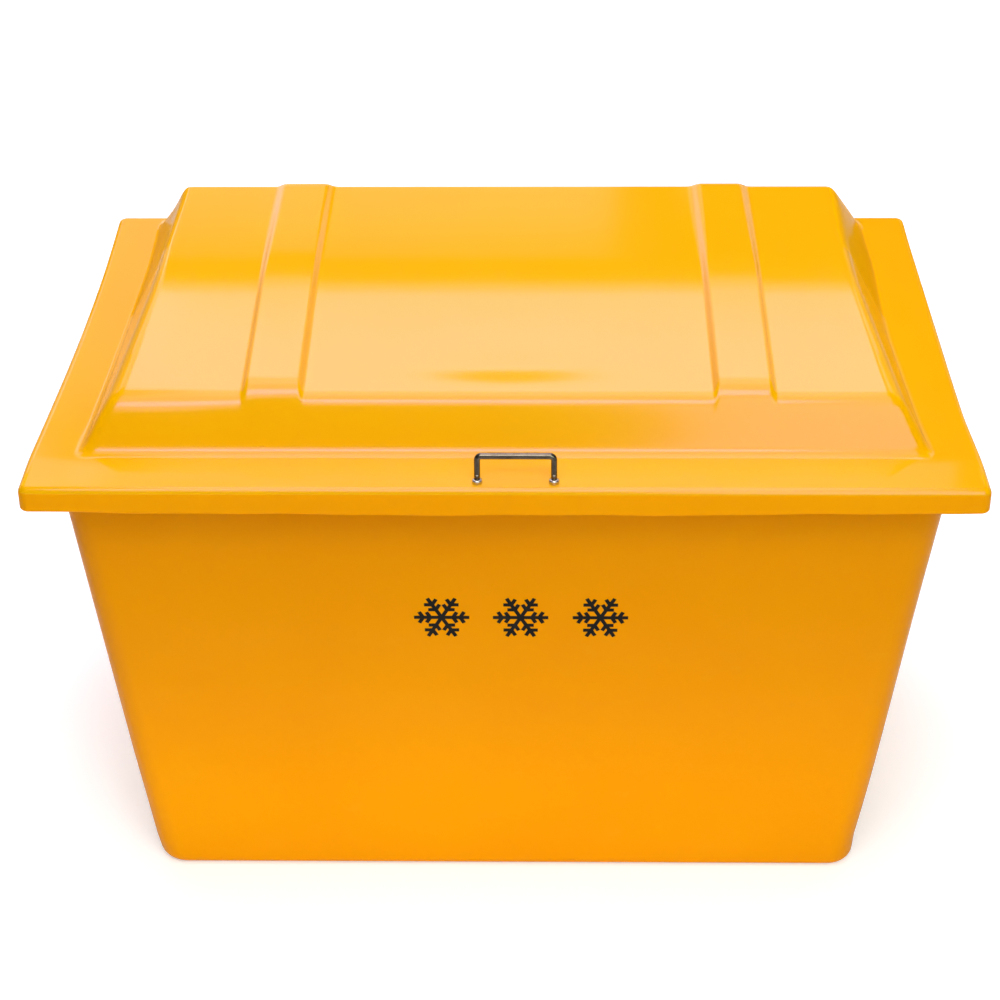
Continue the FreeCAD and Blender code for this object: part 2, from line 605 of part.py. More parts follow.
nodes = {"tub": tub, "lid": lid}
for word, side in (("left", "-"), ("right", "")):
    middle = f"{side}RibSpacing"
    wall, skirt = on_rear_wall(middle), on_skirt(middle)
    for name, maker in (("hinge_bracket", hinge_bracket), ("hinge_leaf", hinge_leaf), ("hinge_pin", hinge_pin)):
        nodes[f"{name}_{word}"] = tie(maker(f"{name}_{word}"), Placement__Base__x=middle)
    nodes[f"bracket_bolts_{word}"] = bolts(
        f"bracket_bolts_{word}", wall, BRACKET_BOLTS, "BoltDiameter", "BoltFlats", "BoltHeadHeight",
        "TubWall + BackingSheet + BoltNutHeight + BoltTail")
    nodes[f"bracket_plate_{word}"] = backing(
        f"bracket_plate_{word}", wall, BRACKET_BOLTS, "BoltPitch / 2 + PlateMargin",
        "BoltRowPitch / 2 + PlateMargin", "BackingSheet", "BoltDiameter", "TubWall")
    nodes[f"bracket_nuts_{word}"] = nuts(
        f"bracket_nuts_{word}", wall, BRACKET_BOLTS, "BoltDiameter", "BoltFlats", "BoltNutHeight",
        "TubWall + BackingSheet")
    nodes[f"leaf_bolts_{word}"] = bolts(
        f"leaf_bolts_{word}", skirt, LEAF_BOLTS, "LeafBoltDiameter", "LeafBoltFlats", "LeafBoltHeadHeight",
        "LidWall + BackingSheet + LeafNutHeight + BoltTail")
    nodes[f"leaf_plate_{word}"] = backing(
        f"leaf_plate_{word}", skirt, LEAF_BOLTS, "LeafBoltPitch + PlateMargin - 1",
        "LeafBoltFlats", "BackingSheet", "LeafBoltDiameter", "LidWall")
    nodes[f"leaf_nuts_{word}"] = nuts(
        f"leaf_nuts_{word}", skirt, LEAF_BOLTS, "LeafBoltDiameter", "LeafBoltFlats", "LeafNutHeight",
        "LidWall + BackingSheet")

# The pull: one bent chromed rod standing on two collars on the front flange, held from
# below by a screw and a washer at each foot.
handle = tie(body("handle"), Placement__Base__x="HandleOffset")
rod_top = "FlangeTop + HandleHeight - HandleRod / 2"
bow = outline(sketch(handle, "XZ_Plane", "-(HandleY)"), [
    ("-HandleSpan / 2", "FlangeTop"), ("-HandleSpan / 2", rod_top), ("HandleSpan / 2", rod_top),
    ("HandleSpan / 2", "FlangeTop")], {1: "HandleBend", 2: "HandleBend"}, closed=False)
rod = circle(sketch(handle, "XY_Plane", "FlangeTop"), "-HandleSpan / 2", "HandleY", "HandleRod")
feature(handle, "AdditivePipe", rod, Spine=((bow, [""]),))
collars = sketch(handle, "XY_Plane", "FlangeTop")
for u, _ in HANDLE_FEET:
    circle(collars, u, "HandleY", "FootDiameter")
feature(handle, "Pad", collars, Length="FootHeight")
bores = sketch(handle, "XY_Plane", "FlangeTop")
for u, _ in HANDLE_FEET:
    circle(bores, u, "HandleY", "ScrewBore")
feature(handle, "Pocket", bores, Length="ScrewGrip - LidWall + 1", Reversed=(True,))
nodes["handle"] = handle
under_flange = ("HandleOffset", "HandleY", "TubHeight", "0")
nodes["handle_screws"] = group("handle_screws", under_flange, [
    joined(primitive("Cylinder", u, v, "-(WasherSheet + ScrewHeadHeight)", Radius="ScrewHead / 2",
                     Height="ScrewHeadHeight"),
           primitive("Cylinder", u, v, "-(WasherSheet + ScrewHeadHeight)", Radius="ScrewDiameter / 2",
                     Height="WasherSheet + ScrewHeadHeight + ScrewGrip"))
    for u, v in HANDLE_FEET])
nodes["handle_washers"] = group("handle_washers", under_flange, [
    bored(primitive("Cylinder", u, v, "-WasherSheet", Radius="WasherDiameter / 2", Height="WasherSheet"),
          primitive("Cylinder", u, v, "-WasherSheet", Radius="ScrewBore / 2", Height="WasherSheet"))
    for u, v in HANDLE_FEET])

doc.recompute()
for made in doc.Objects:
    if {"Invalid", "Error"} & set(made.State):
        raise RuntimeError(f"{made.Label} failed: {made.State}")
os.makedirs("parts", exist_ok=True)
for name, made in nodes.items():
    if made.Shape.isNull() or not made.Shape.isValid():
        raise RuntimeError(f"{name} has no valid shape")
    made.Shape.exportStep(f"parts/{name}.step")
    print(name, len(made.Shape.Solids), "solids", round(made.Shape.Volume / 1000, 2), "cm3")
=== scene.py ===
import math

import bmesh
import bpy
import numpy as np
from mathutils import Matrix, Vector
from mathutils.geometry import tessellate_polygon


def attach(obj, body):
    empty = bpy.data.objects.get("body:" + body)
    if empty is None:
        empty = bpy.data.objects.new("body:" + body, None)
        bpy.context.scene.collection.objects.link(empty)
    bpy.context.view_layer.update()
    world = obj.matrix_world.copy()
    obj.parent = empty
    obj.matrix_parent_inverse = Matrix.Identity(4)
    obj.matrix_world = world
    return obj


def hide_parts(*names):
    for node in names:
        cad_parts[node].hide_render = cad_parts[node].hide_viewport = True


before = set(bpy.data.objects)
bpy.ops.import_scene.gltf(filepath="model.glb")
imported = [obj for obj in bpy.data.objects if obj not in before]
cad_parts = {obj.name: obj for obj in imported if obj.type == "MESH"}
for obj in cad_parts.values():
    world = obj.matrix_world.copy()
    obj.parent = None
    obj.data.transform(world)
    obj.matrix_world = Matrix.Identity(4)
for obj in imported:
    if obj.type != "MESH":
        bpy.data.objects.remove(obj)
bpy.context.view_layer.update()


# The tub: a hand-laid glass-fibre tank with 5 mm walls, drawn off a drafted mould. Glossy orange
# gelcoat outside, a duller flow coat over the mat inside, and at the top a rim turned out with its
# lip turned down, all one laminate.

TUB_HEIGHT = 615.0
TUB_WALL = 5.0
BASE_HALF = (448.85, 289.6)
TUB_LEAN = (math.tan(math.radians(6.6)), math.tan(math.radians(4.5)))
TUB_CORNER = 36.0
TUB_BOTTOM_ROUND = 18.0
RIM_HALF = (530.0, 348.0)
RIM_CORNER = 44.0
LIP_DEPTH = 20.0
EDGE_ROUND = 1.6
RIM_ROUND = 3.0
MOUTH_ROUND = 4.0
WALL_ROWS = 30
TUB_OUTSIDE, TUB_INSIDE = 0, 1


class Lines:
    """Grid lines over a plate with round corners, kept as shares of its straight part and its corner."""

    def __init__(self, half, radius, inner, corner_steps):
        straight = half - radius
        inner = sorted({round(float(at), 4) for at in inner if at < straight - 0.5} | {straight})
        side = [at for at in inner if at > 0]
        share = [at / straight for at in side] + [1.0] * corner_steps
        bulge = [0.0] * len(side) + self.corner_bulge(corner_steps)
        self.share = np.array([-s for s in reversed(share)] + [0.0] + share)
        self.bulge = np.array([-b for b in reversed(bulge)] + [0.0] + bulge)

    @staticmethod
    def corner_bulge(steps):
        """Places along a corner square whose lines meet its arc at even turns."""
        return [math.tan(math.radians(45 * step / steps)) for step in range(1, steps + 1)]

    def at(self, half, radius):
        return self.share * (half - radius) + self.bulge * radius


def plate(across, along, half_x, half_y, radius):
    """Points of a level plate with round corners: each corner square of the grid becomes a quarter disc."""
    x, y = np.meshgrid(across.at(half_x, radius), along.at(half_y, radius), indexing="ij")
    u = np.maximum(np.abs(x) - (half_x - radius), 0) / max(radius, 1e-6)
    v = np.maximum(np.abs(y) - (half_y - radius), 0) / max(radius, 1e-6)
    pull = np.where((u > 1e-9) & (v > 1e-9), np.maximum(u, v) / np.maximum(np.hypot(u, v), 1e-9), 1.0)
    x = np.sign(x) * (np.minimum(np.abs(x), half_x - radius) + radius * u * pull)
    y = np.sign(y) * (np.minimum(np.abs(y), half_y - radius) + radius * v * pull)
    return x, y


def rim_of(grid):
    """The outermost points of a grid, once round."""
    return np.concatenate([grid[:, 0], grid[-1, 1:], grid[-2::-1, -1], grid[0, -2:0:-1]])


def mesh_object(name, points, faces, finishes, face_finish=None):
    """A smooth-shaded mesh object from points in millimetres."""
    mesh = bpy.data.meshes.new(name)
    mesh.from_pydata((np.asarray(points, float) / 1000).tolist(), [], faces)
    for finish in finishes:
        mesh.materials.append(finish)
    if face_finish is not None:
        mesh.polygons.foreach_set("material_index", face_finish)
    work = bmesh.new()
    work.from_mesh(mesh)
    bmesh.ops.recalc_face_normals(work, faces=work.faces)
    work.to_mesh(mesh)
    work.free()
    mesh.shade_smooth()
    made = bpy.data.objects.new(name, mesh)
    bpy.context.scene.collection.objects.link(made)
    return made


def shell(name, first, rings, last, finishes, first_finish, ring_finish, last_finish):
    """A closed skin: a first grid, rings down and up its edge, and a last grid, welded in that order."""
    count_x, count_y = first[0].shape
    index = np.arange(count_x * count_y).reshape(count_x, count_y)
    points = [np.stack([part.ravel() for part in first], 1)]
    quads = np.stack([index[:-1, :-1], index[1:, :-1], index[1:, 1:], index[:-1, 1:]], -1).reshape(-1, 4)
    faces, marks = [quads], [np.full(len(quads), first_finish)]
    above, start = rim_of(index), count_x * count_y
    for ring, mark in zip(rings, ring_finish):
        below = start + np.arange(len(above))
        points.append(np.stack(ring, 1))
        faces.append(np.stack([above, np.roll(above, -1), np.roll(below, -1), below], 1))
        marks.append(np.full(len(above), mark))
        above, start = below, start + len(above)
    points.append(np.stack([part.ravel() for part in last], 1))
    edge = start + rim_of(index)
    faces.append(np.stack([above, np.roll(above, -1), np.roll(edge, -1), edge], 1))
    faces.append(start + quads)
    marks += [np.full(len(above), last_finish), np.full(len(quads), last_finish)]
    return mesh_object(name, np.concatenate(points), np.concatenate(faces).tolist(), finishes,
                       np.concatenate(marks))


class Tone:
    """A socket of a finish's node tree. Sums and products of tones add Math nodes."""

    def __init__(self, finish, socket):
        self.finish, self.socket = finish, socket

    def math(self, operation, *values):
        return self.finish.node("ShaderNodeMath", {"operation": operation}, dict(enumerate(values)))

    def __add__(self, other): return self.math("ADD", self, other)
    def __radd__(self, other): return self.math("ADD", other, self)
    def __mul__(self, other): return self.math("MULTIPLY", self, other)
    def most(self, other): return self.math("MAXIMUM", self, other)

    def between(self, low, high, to_low=0.0, to_high=1.0):
        """This tone stretched smoothly from one range to another."""
        return self.finish.node("ShaderNodeMapRange", {"interpolation_type": "SMOOTHSTEP"},
                                {0: self, 1: low, 2: high, 3: to_low, 4: to_high})


class Finish:
    """A material whose nodes are added by plain expressions."""

    def __init__(self, name, **constants):
        self.material = bpy.data.materials.new(name)
        self.material.use_nodes = True
        self.tree = self.material.node_tree
        self.shader = self.tree.nodes["Principled BSDF"]
        self.set(**constants)

    def set(self, **sockets):
        """Values or tones for the shader's own sockets; an underscore stands for a space."""
        for name, value in sockets.items():
            self.fill(self.shader.inputs[name.replace("_", " ")], value)

    def fill(self, socket, value):
        if isinstance(value, Tone):
            self.tree.links.new(value.socket, socket)
        elif isinstance(value, (tuple, list)) and len(socket.default_value) == 4:
            socket.default_value = (*value, 1.0)
        else:
            socket.default_value = value

    def node(self, kind, settings, sockets, out=0):
        """One node: its settings first, then the values or links of its sockets."""
        made = self.tree.nodes.new(kind)
        for name, value in settings.items():
            if name == "stops":
                ramp = made.color_ramp
                while len(ramp.elements) < len(value):
                    ramp.elements.new(0.5)
                for element, (at, colour) in zip(ramp.elements, value):
                    element.position, element.color = at, (*colour, 1.0)
            else:
                setattr(made, name, value)
        for name, value in sockets.items():
            self.fill(made.inputs[name], value)
        return Tone(self, made.outputs[out])

    def place(self):
        """The point on the object, in metres, which rides with it."""
        return self.node("ShaderNodeTexCoord", {}, {}, "Object")

    def stretched(self, across, along, up):
        return self.node("ShaderNodeVectorMath", {"operation": "MULTIPLY"},
                         {0: self.place(), 1: (across, along, up)})

    def noise(self, scale, detail=2.0, roughness=0.5, where=None, distortion=0.0):
        return self.node("ShaderNodeTexNoise", {}, {"Vector": where or self.place(), "Scale": scale,
                         "Detail": detail, "Roughness": roughness, "Distortion": distortion})

    def blend(self, factor, first, second):
        """One colour turning into another."""
        return self.node("ShaderNodeMix", {"data_type": "RGBA"}, {0: factor, 6: first, 7: second}, 2)

    def bump(self, height, depth, strength=1.0, under=None):
        sockets = {"Height": height, "Distance": depth, "Strength": strength}
        return self.node("ShaderNodeBump", {}, {**sockets, "Normal": under} if under else sockets)


def gelcoat(name, colour, deep, gloss, polish):
    """Pigmented gelcoat: a long mould wave, fine orange peel, a little dust and rubbed hairlines."""
    coat = Finish(name, IOR=gloss, Specular_Tint=(1.0, 0.25, 0.9), Coat_IOR=1.40, Coat_Roughness=0.12)
    cloud = coat.noise(3.1, 3.0)
    grain = coat.noise(900.0, 2.0)
    smear = coat.noise(26.0, 4.0, 0.62, coat.stretched(1.0, 0.35, 1.7))
    hairs = coat.noise(420.0, 2.0, 0.5, coat.stretched(1.0, 0.04, 0.6))
    tint = coat.blend(cloud.between(0.36, 0.66), colour, deep)
    dust, fleck = (0.90, 0.46, 0.03), (1.0, 0.55, 0.01)
    tint = coat.blend(smear.between(0.56, 0.86) * 0.10, tint, dust)
    tint = coat.blend(grain.between(0.66, 0.82) * 0.10, tint, fleck)
    wave = coat.bump(coat.noise(7.0, 1.0), 0.0012, 0.10)
    peel = coat.bump(coat.noise(260.0, 1.0), 0.0002, 0.05, wave)
    coat.set(Base_Color=tint, Roughness=0.10 + smear * 0.06 + hairs.between(0.60, 0.78) * 0.10,
             Coat_Weight=polish + cloud * polish * 0.3,
             Normal=coat.bump(hairs.between(0.62, 0.80), 0.00002, 0.12, peel))
    return coat.material


def laminate(name, colour):
    """Flow coat brushed over chopped-strand mat: dull, streaky, the strands showing through."""
    mat = Finish(name, IOR=1.45)
    strands = mat.node("ShaderNodeTexVoronoi", {"feature": "DISTANCE_TO_EDGE"},
                       {"Vector": mat.stretched(1.0, 0.55, 0.8), "Scale": 95.0})
    lay = mat.noise(210.0, 3.0, 0.6, mat.stretched(0.25, 1.0, 0.5), 1.6)
    runs = mat.noise(9.0, 4.0, 0.6, mat.stretched(1.0, 1.0, 0.2))
    tint = mat.blend(runs.between(0.3, 0.75), colour, tuple(0.84 * part for part in colour))
    tint = mat.blend(lay.between(0.52, 0.72) * 0.35, tint, (0.92, 0.62, 0.26))
    mat.set(Base_Color=tint, Roughness=0.42 + lay * 0.25,
            Normal=mat.bump(lay + strands.between(0.0, 0.2) * 0.5, 0.0006, 0.55))
    return mat.material


def trimmed_edge(name, colour):
    """The sawn and rubbed edge of the laminate: paler, with the layers of glass just showing."""
    edge = Finish(name, IOR=1.45)
    layers = edge.noise(700.0, 2.0, 0.5, edge.stretched(0.2, 0.2, 3.0))
    tint = edge.blend(layers.between(0.4, 0.62), colour, (0.98, 0.72, 0.30))
    edge.set(Base_Color=tint, Roughness=0.35 + layers * 0.3, Normal=edge.bump(layers, 0.0002, 0.4))
    return edge.material


def wall_half(level, inset=0.0):
    """Half width and half depth of the tub's drafted wall at a height."""
    return [half + lean * level - inset for half, lean in zip(BASE_HALF, TUB_LEAN)]


def tub_swell(x, z):
    """How far the hand-laid end walls stand to the right of their drafted planes; minus is to the left."""
    reach = np.clip((np.abs(x) - 380.0) / 60.0, 0, 1) * np.clip(z / 30.0, 0, 1)
    left = -2.5 + 4.8 * np.clip((z - 180.0) / 400.0, 0, 1)
    right = -2.2 + 0.6 * np.sin(z / 90.0) - 1.8 * np.exp(-((z / 80.0) ** 2))
    return np.where(x > 0, right, left) * reach


def tub_ring(half, radius, level):
    """A level ring of the tub, swollen as the wall there is."""
    x, y = (rim_of(part) for part in plate(tub_across, tub_along, half[0], half[1], radius))
    z = np.full(len(x), level)
    return x + tub_swell(x, z), y, z


def drafted_profile(base, lean, bottom, top, round_radius, corner, steps=7):
    """Halves and corner radii of a drafted wall from its floor, through the bottom round, to a height."""
    rows = []
    for step in range(steps + 1):
        turn = math.radians(84.0 * step / steps)
        rise = round_radius * (1 - math.cos(turn))
        half = [b + l * round_radius - round_radius * (math.hypot(1, l) - math.sin(turn))
                for b, l in zip(base, lean)]
        half = [min(h, b + l * rise) for h, b, l in zip(half, base, lean)]
        shrink = base[1] + lean[1] * rise - half[1]
        rows.append((half, max(corner - shrink, 4.0), bottom + rise))
    for rise in np.linspace(0, 1, WALL_ROWS)[1:] * (top - bottom - round_radius) + round_radius:
        rows.append(([b + l * rise for b, l in zip(base, lean)], corner, bottom + rise))
    return rows


tub_across = Lines(450.0, TUB_CORNER, [26.0 * step for step in range(1, 16)], 6)
tub_along = Lines(290.0, TUB_CORNER, [25.0 * step for step in range(1, 11)], 6)
outside = drafted_profile(BASE_HALF, TUB_LEAN, 0.0, TUB_HEIGHT - TUB_WALL - 1.0, TUB_BOTTOM_ROUND, TUB_CORNER)
floor_half = [half + TUB_WALL * (lean - math.hypot(1, lean)) for half, lean in zip(BASE_HALF, TUB_LEAN)]
inside = drafted_profile(floor_half, TUB_LEAN, TUB_WALL, TUB_HEIGHT - MOUTH_ROUND,
                         TUB_BOTTOM_ROUND - TUB_WALL, TUB_CORNER - TUB_WALL)
under_rim = TUB_HEIGHT - TUB_WALL
lip_foot = TUB_HEIGHT - LIP_DEPTH
rim_top = [(wall_half(under_rim, -1.0), TUB_CORNER + 1, under_rim)]
rim_top += [([half - inset for half in RIM_HALF], RIM_CORNER - inset, level) for inset, level in (
    (TUB_WALL + EDGE_ROUND, under_rim), (TUB_WALL, under_rim - EDGE_ROUND), (TUB_WALL, lip_foot + 1),
    (TUB_WALL - 1, lip_foot), (1.0, lip_foot), (0.0, lip_foot + 1),
    *((RIM_ROUND * (1 - math.cos(turn)), TUB_HEIGHT - RIM_ROUND * (1 - math.sin(turn)))
      for turn in np.radians([0, 22.5, 45, 67.5, 90])))]
mouth = [half + (TUB_HEIGHT - TUB_WALL) * lean for half, lean in zip(floor_half, TUB_LEAN)]
for turn in np.radians([0, 30, 60]):
    out, down = MOUTH_ROUND * (1 - math.sin(turn)), MOUTH_ROUND * (1 - math.cos(turn))
    rim_top.append(([half + out for half in mouth], TUB_CORNER - TUB_WALL + out, TUB_HEIGHT - down))
tub_rows = [(outside[1:], TUB_OUTSIDE), (rim_top[:2], TUB_INSIDE), (rim_top[2:], TUB_OUTSIDE),
            (inside[:0:-1], TUB_INSIDE)]
under, over = (plate(tub_across, tub_along, *rows[0][0], rows[0][1]) for rows in (outside, inside))

tub_colour, tub_deep = (0.865, 0.314, 0.0), (0.85, 0.30, 0.0)
tub = shell("tub_laminate",
            (*under, np.zeros_like(under[0])),
            [tub_ring(*row) for rows, _ in tub_rows for row in rows],
            (*over, np.full_like(over[0], TUB_WALL)),
            [gelcoat("orange_tub_gelcoat", tub_colour, tub_deep, 1.11, 0.02),
             laminate("tub_mat", (0.78, 0.32, 0.05))],
            TUB_OUTSIDE, [mark for rows, mark in tub_rows for _ in rows], TUB_INSIDE)
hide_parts("tub")
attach(tub, "tub")


# The lid: one glass-fibre moulding, laid up as the tub is. A flat flange with a down-turned skirt
# carries a hipped dome: steep front band, main slope, nearly flat top, rear slope, and two broad
# ribs that stiffen the roof.

FLANGE_TOP = 620.0
LID_HALF = (550.0, 375.0)
LID_WALL = 5.0
LID_CORNER = 11.5
FLANGE_ROUND = 8.0
SKIRT_FOOT = 586.0
DOME_FRONT, BAND_TOP, BEND, CREST, DOME_REAR = -299.0, -262.0, -19.0, 231.0, 350.0
BAND_HEIGHT, BEND_HEIGHT, CREST_HEIGHT = 59.0, 98.0, 108.5
DOME_HALF, END_RUN = 490.0, 59.0
RIB_AT, RIB_HALF, RIB_BEVEL, RIB_HEIGHT = 272.7, 32.8, (5.5, 11.0), (11.0, 8.2)
HIP_AT, HIP_DRAWN_FROM = 458.0, 457.8
LID_TOP, LID_INSIDE, LID_EDGE, LID_SKIRT_PAINTED_SHADE, LID_ENDS, LID_REAR_ENDS = range(6)
END_LEAN, END_FROM, END_REAR_FROM = 0.35, 0.38, 0.05


def lower_of(first, second, soft):
    """The lower of two roof planes, the ridge between them rounded."""
    near = np.maximum(soft - np.abs(first - second), 0) / soft
    return np.minimum(first, second) - near * near * soft / 4


def upper_of(first, second, soft):
    return -lower_of(-first, -second, soft)


def soft_step(x, low, high):
    share = np.clip((x - low) / (high - low), 0, 1)
    return share * share * (3 - 2 * share)


def rib_rise(x, y, grow=0.0):
    """0 beside a rib, 1 on its flat top, its sides eased into both and laid back towards the crest."""
    off = np.abs(np.abs(x) - RIB_AT) - grow
    front, rear = RIB_BEVEL
    slope = 0.5 + (RIB_HALF - off) / (front + (rear - front) * soft_step(y, BEND - 40.0, CREST - 10.0))
    return lower_of(upper_of(slope, np.zeros_like(slope), 0.34), np.ones_like(slope), 0.34)


def roof(x, y, thick=0.0):
    """Height of the lid's skin above the flange; thick gives its underside instead."""
    def plane(rise, run, at, height, along):
        return height + rise / run * (along - at) - thick * math.hypot(1, rise / run)

    front, rear = RIB_HEIGHT
    rib = (rear + (front - rear) * (CREST - y) / (CREST - BAND_TOP)) * rib_rise(x, y, -0.32 * thick)
    band = plane(BAND_HEIGHT, BAND_TOP - DOME_FRONT, DOME_FRONT, 0.0, y)
    slope = plane(BEND_HEIGHT - BAND_HEIGHT, BEND - BAND_TOP, BAND_TOP, BAND_HEIGHT, y) + rib
    top = plane(CREST_HEIGHT - BEND_HEIGHT, CREST - BEND, BEND, BEND_HEIGHT, y) + rib
    rear = plane(-CREST_HEIGHT, DOME_REAR - CREST, CREST, CREST_HEIGHT, y)
    ends = plane(-CREST_HEIGHT, END_RUN, DOME_HALF, 0.0, np.abs(x))
    skin = lower_of(slope, top, 5.4)
    skin = lower_of(skin, band, 12.0 + 0.5 * rib + 8.0 * soft_step(-x, 240.0, 420.0))
    skin = lower_of(skin, rear, 7.0)
    skin = lower_of(skin, ends, 17.0 + 9.0 * soft_step(-y, 0.0, 250.0))
    return upper_of(skin, np.full_like(skin, -thick), 6.5 + 4.5 * soft_step(-y, 200.0, 290.0))


def eased(at, places, values, reach=38.0):
    """Values between measured places, the corners of the line rubbed out."""
    shifts = np.linspace(-1, 1, 9)
    weight = np.cos(shifts * math.pi / 2) + 0.05
    return sum(w * np.interp(at + reach * s, places, values) for s, w in zip(shifts, weight)) / weight.sum()


BOW_AT = (-375, -300, -200, -100, 0, 100, 200, 300, 375)
FLANGE_BOW = ((0, 0.0, 3.0, 5.6, 7.0, 7.2, 6.0, 3.0, 0), (0, 0.5, 4.8, 4.6, 3.8, 3.2, 2.4, 1.6, 0))
FOOT_BOW = ((0, 0.0, 2.0, 4.2, 5.6, 6.6, 7.2, 4.0, 0), (0, -1.5, 2.5, 6.0, 9.0, 7.0, 2.5, 3.0, 4.0))


def lid_bow(x, y):
    """The skin moved sideways: side edges and the dome's foot drawn in between the corners, the ribs
    a little to the right and the left hip outwards."""
    edge, foot = (np.where(x < 0, eased(y, BOW_AT, bow[0]), eased(y, BOW_AT, bow[1]))
                  for bow in (FLANGE_BOW, FOOT_BOW))
    away = np.abs(x)
    share = soft_step(away, 495.0, 545.0)
    reach = soft_step(away, 330.0, 440.0)
    ribs = 4.8 * (1 - soft_step(away, 320.0, 420.0))
    hip = 5.5 * soft_step(-x, 340.0, 420.0) * (1 - soft_step(-x, 420.0, 465.0)) * soft_step(y, -60.0, 90.0)
    return x - np.sign(x) * reach * (foot + (edge - foot) * share) + ribs - hip


def flange_sag(y):
    """The top face of the front flange falls off a little towards its edge."""
    return -2.2 * soft_step(-y, 300.0, 374.0)


def slack(x, y):
    """A shallow wave in the main slope behind the front ridge, where the laminate has shrunk."""
    return -1.8 * np.exp(-(((y + 206.0) / 26.0) ** 2) - ((x - 2.0) / 105.0) ** 2)


def around(centre, *offsets):
    return [centre + offset for offset in offsets]


rib_steps = (1.0, 1.9, 2.8, 3.6, 4.5, 5.6, 7.0, 9.0)
rib_edges = [side * (RIB_HALF + off) for side in (-1, 1)
             for off in (0.0, *rib_steps, *(-step for step in rib_steps))]
across_marks = [22.0 * step for step in range(1, 10)] + around(RIB_AT, *rib_edges, -12, 12)
across_marks += [340, 362, 384, 406]
across_marks += around(HIP_AT, -32, -24, -18, -13, -9.5, -6.5, -4, -2, 0, 2, 4, 6.5, 9.5, 13, 17, 21, 25)
across_marks += around(DOME_HALF, -3, -1, 1, 3, 5.5, 8.5, 12, 18, 26)
front_marks = around(DOME_FRONT, -40, -26, -14, -9, -6, -4, -2, 0, 2, 4, 6.5, 11, 18, 25, 30)
front_marks += around(BAND_TOP, -4, -2, 0, 2, 4, 6, 8, 10.5, 13.5, 17, 22, 30)
middle_marks = [*range(-236, -176, 6), -166, -146, -124, -102, -84]
middle_marks += [BEND + 9 * step for step in range(-6, 7)] + [56, 78, 100, 122, 144, 166, 188, 206]
rear_marks = around(CREST, -15, -11, -8, -5.5, -3, -1, 1, 3, 5.5, 8.5, 13, 22, 36, 52, 68, 84)
rear_marks += around(CREST, 98, 108, 113, 116)


class OpenLines(Lines):
    """Grid lines whose two ends differ, for the lid from its front to its rear."""

    def __init__(self, half, radius, marks, corner_steps):
        straight = half - radius
        inner = {round(float(at), 4) for at in marks if abs(at) < straight - 0.7}
        inner = sorted(inner | {straight, -straight})
        bulge = self.corner_bulge(corner_steps)
        self.share = np.array([-1.0] * corner_steps + [at / straight for at in inner] + [1.0] * corner_steps)
        self.bulge = np.array([-b for b in reversed(bulge)] + [0.0] * len(inner) + bulge)


lid_half = [half - FLANGE_ROUND for half in LID_HALF]
lid_radius = LID_CORNER - FLANGE_ROUND
lid_across = Lines(lid_half[0], lid_radius, across_marks, 5)
lid_along = OpenLines(lid_half[1], lid_radius, front_marks + middle_marks + rear_marks, 5)


def follow_hips(x, y):
    """Grid lines drawn over to the dome's hips, which lean in as the roof climbs."""
    height = roof(np.zeros_like(x), y)
    lean = (DOME_HALF - END_RUN * np.clip(height, BAND_HEIGHT, CREST_HEIGHT) / CREST_HEIGHT) - HIP_DRAWN_FROM
    away = np.abs(x)
    share = soft_step(away, 325.0, 430.0) * (1 - soft_step(away, 470.0, 488.0))
    return x + np.sign(x) * lean * share


def lid_skin(thick):
    x, y = plate(lid_across, lid_along, *lid_half, lid_radius)
    x = follow_hips(x, y)
    z = FLANGE_TOP + roof(x, y, thick) + slack(x, y)
    if not thick:
        z = z + flange_sag(y)
    return lid_bow(x, y), y, z


def skirt_foot(x, y):
    """The trimmed foot of the skirt: cut by hand, deepest mid-front, left straight at the rear."""
    front = soft_step(-y, 300.0, 360.0)
    hang = 3.2 - 4.2 * (1 - (x / 550.0) ** 2)
    ripple = 0.55 * np.sin(x / 47.0 + 0.6) + 0.35 * np.sin(x / 19.0 + 2.0)
    side = 0.8 * np.sin(y / 61.0 + 1.0) * soft_step(np.abs(x), 500.0, 545.0) * soft_step(-y, -300.0, -240.0)
    return front * (hang + ripple) + side * (1 - front)


def lid_ring(inset, level, hangs):
    """A ring of the lid's edge; hangs is how much of the foot's cut it follows."""
    half = [h - inset for h in LID_HALF]
    x, y = (rim_of(part) for part in plate(lid_across, lid_along, *half, LID_CORNER - inset))
    z = level + flange_sag(y) * (1 - hangs) * (inset < LID_WALL) + skirt_foot(x, y) * hangs
    return lid_bow(x, y), y, z


# Rows down the skirt's outside, under its foot and up its inside: inset, level, share of the foot's cut.
edge_rows = [(FLANGE_ROUND * (1 - math.sin(turn)), FLANGE_TOP - FLANGE_ROUND * (1 - math.cos(turn)), 0.0,
              LID_TOP if turn < 1.4 else LID_SKIRT_PAINTED_SHADE) for turn in np.radians([18, 36, 54, 72, 90])]
edge_rows += [(*row, LID_SKIRT_PAINTED_SHADE) for row in (
    (0.0, 606.0, 0.1), (0.0, 600.0, 0.3), (0.0, 594.0, 0.6), (0.0, 588.5, 1.0),
    (0.15, SKIRT_FOOT + 1.0, 1.0), (0.9, SKIRT_FOOT, 1.0))]
edge_rows += [(4.1, SKIRT_FOOT, 1.0, LID_EDGE)]
edge_rows += [(*row, LID_INSIDE) for row in (
    (LID_WALL, SKIRT_FOOT + 1.2, 1.0), (LID_WALL, 594.0, 0.6), (LID_WALL, 602.0, 0.3),
    (LID_WALL, 611.0, 0.0), (LID_WALL + 1.2, 613.8, 0.0))]
lid_colour, lid_deep = (0.96, 0.453, 0.0), (0.95, 0.44, 0.0)
